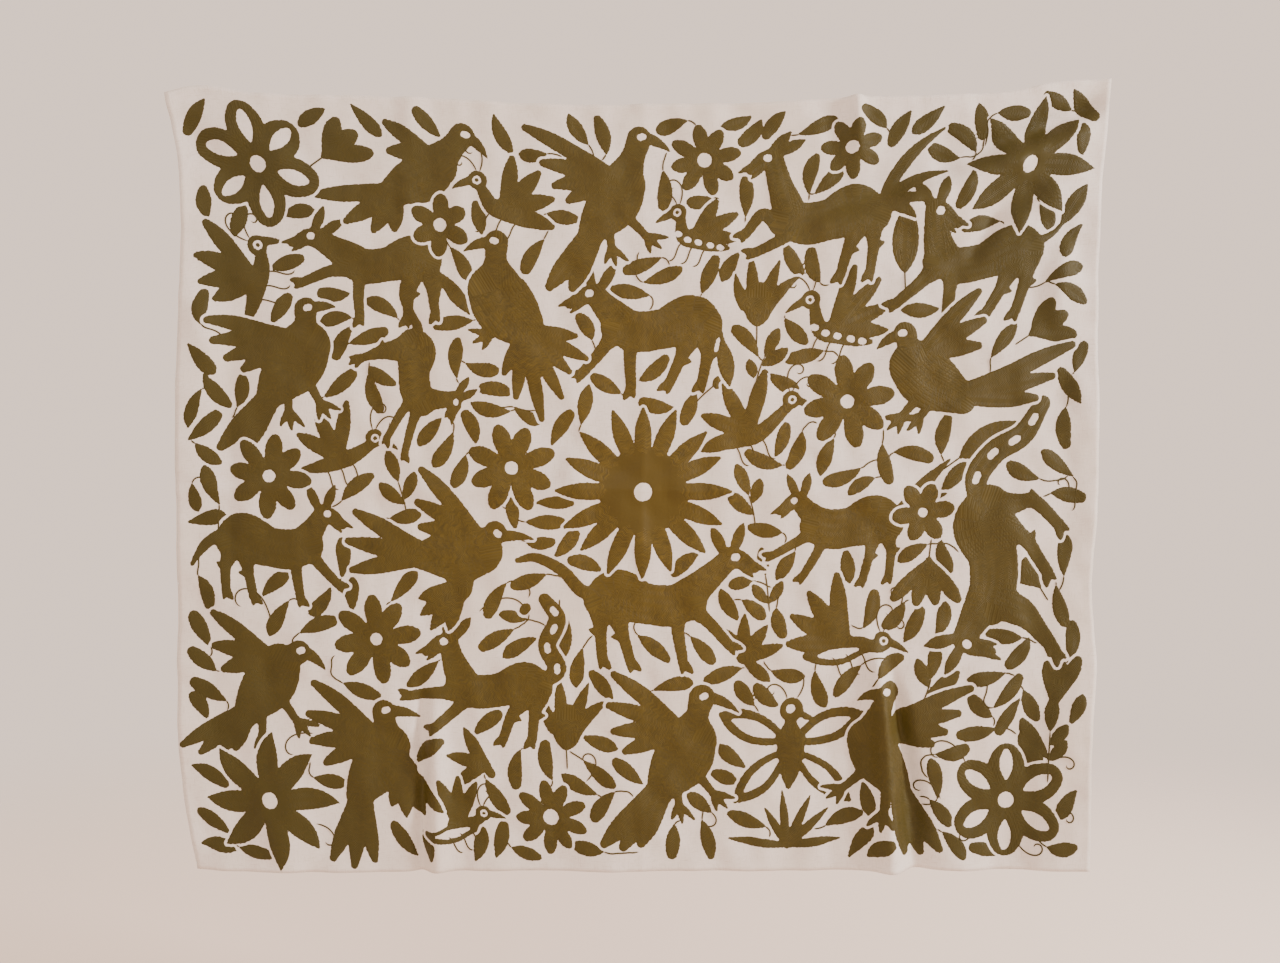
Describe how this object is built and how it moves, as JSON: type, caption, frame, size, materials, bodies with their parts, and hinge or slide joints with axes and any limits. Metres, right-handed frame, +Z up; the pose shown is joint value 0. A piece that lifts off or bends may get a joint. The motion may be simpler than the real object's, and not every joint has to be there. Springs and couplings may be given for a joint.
{
  "type": "otomi embroidered cloth",
  "caption": "Rectangular white cotton panel hanging by its top corners, with soft drag folds and pleats, covered in olive satin-stitch animals, birds, flowers and leaves",
  "frame": {"origin": "on the cloth's top edge, halfway between its two top corners, where it hangs", "axes": "+X right along the top edge for someone who faces the embroidered side, +Y away from that side towards the wall behind, +Z up. The embroidered front faces -Y"},
  "size_m": [1.199, 0.037, 1.0051],
  "materials": {
    "cotton_muslin": "undyed plain-weave cotton, matt, with storage creases",
    "embroidery_thread": "stranded cotton in satin stitch, olive mustard, with a soft sheen"
  },
  "bodies": {
    "root": {"cloth": "cotton_muslin"}
  },
  "joints": []
}
